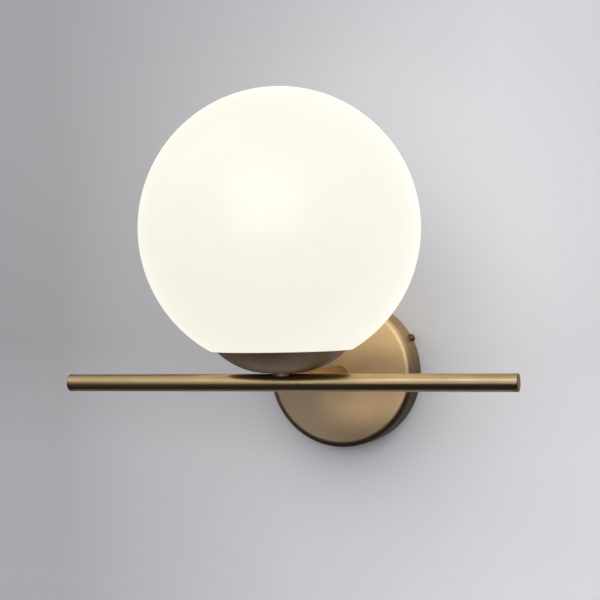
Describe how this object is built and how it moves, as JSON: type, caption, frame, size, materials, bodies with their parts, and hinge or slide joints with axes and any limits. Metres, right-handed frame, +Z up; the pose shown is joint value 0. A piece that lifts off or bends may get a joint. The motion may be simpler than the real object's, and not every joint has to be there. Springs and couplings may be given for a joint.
{
  "type": "globe wall sconce",
  "caption": "Wall light with an opal glass ball in a shallow brass cup on a horizontal bar, held off a round wall canopy by one straight arm.",
  "frame": {"origin": "middle of the mounting plate's rear face, on the wall", "axes": "+Z up, +Y into the wall, +X to the viewer's right along the crossbar"},
  "size_m": [0.336, 0.27, 0.2693],
  "materials": {
    "antique_brass": "antique, lightly brushed, satin lacquer",
    "zinc_steel": "zinc plated",
    "silicone": "matt translucent white",
    "opal_glass": "opal, glossy",
    "holder_plastic": "satin moulded",
    "insert_ceramic": "matt steatite",
    "terminal_brass": "plain",
    "tinned_copper": "tinned",
    "nickel": "nickel plated",
    "black_glass": "glossy black vitrite",
    "clear_glass": "clear",
    "filament": "phosphor coated",
    "block_plastic": "satin moulded",
    "wire_brown": "silicone sleeve",
    "wire_blue": "silicone sleeve",
    "wire_green_yellow": "silicone sleeve"
  },
  "bodies": {
    "fixture": {"mounting_plate": "zinc_steel", "canopy": "antique_brass", "canopy_screws": "antique_brass", "arm_stud": "zinc_steel", "arm_washer": "zinc_steel", "arm_nut": "zinc_steel", "arm_tube": "antique_brass", "crossbar": "antique_brass", "crossbar_end_caps": "antique_brass", "cup_saddle": "antique_brass", "cup_stud": "zinc_steel", "cup": "antique_brass", "glass_fitter": "zinc_steel", "fitter_nut": "zinc_steel", "lampholder_base": "holder_plastic", "lampholder_insert": "insert_ceramic", "lampholder_terminals": "terminal_brass", "lampholder_screws": "zinc_steel", "lampholder_shell": "terminal_brass", "lampholder_contact": "terminal_brass", "lampholder_skirt": "holder_plastic", "terminal_block": "block_plastic", "terminal_sleeves": "terminal_brass", "terminal_screws": "zinc_steel", "block_screw": "zinc_steel", "wire_live": "wire_brown", "wire_neutral": "wire_blue", "wire_earth": "wire_green_yellow", "earth_lug": "tinned_copper", "earth_screw": "terminal_brass"},
    "gasket": {"glass_gasket": "silicone"},
    "globe": {"globe_glass": "opal_glass"},
    "bulb_contact": {"bulb_tip": "tinned_copper"},
    "bulb": {"bulb_cap": "nickel", "bulb_insulator": "black_glass", "bulb_envelope": "clear_glass", "bulb_stem": "clear_glass", "bulb_filaments": "filament", "bulb_frame": "nickel"}
  },
  "joints": [
    {"name": "globe_rise", "type": "slide", "parent": "fixture", "child": "gasket", "axis": [0, 0, 1], "range_m": [0, 0.00187]},
    {"name": "globe_turn", "type": "hinge", "parent": "gasket", "child": "globe", "pos_m": [0, -0.17, 0.11], "axis": [0, 0, 1], "range_deg": [0, 90]},
    {"name": "bulb_rise", "type": "slide", "parent": "fixture", "child": "bulb_contact", "axis": [0, 0, 1], "range_m": [0, 0.01089]},
    {"name": "bulb_turn", "type": "hinge", "parent": "bulb_contact", "child": "bulb", "pos_m": [0, -0.17, 0.06], "axis": [0, 0, 1], "range_deg": [0, 1080]}
  ],
  "couplings": [
    {"joint": "globe_rise", "follows": "globe_turn", "m_per_rad": 0.0011937},
    {"joint": "bulb_rise", "follows": "bulb_turn", "m_per_rad": 0.00057757}
  ]
}
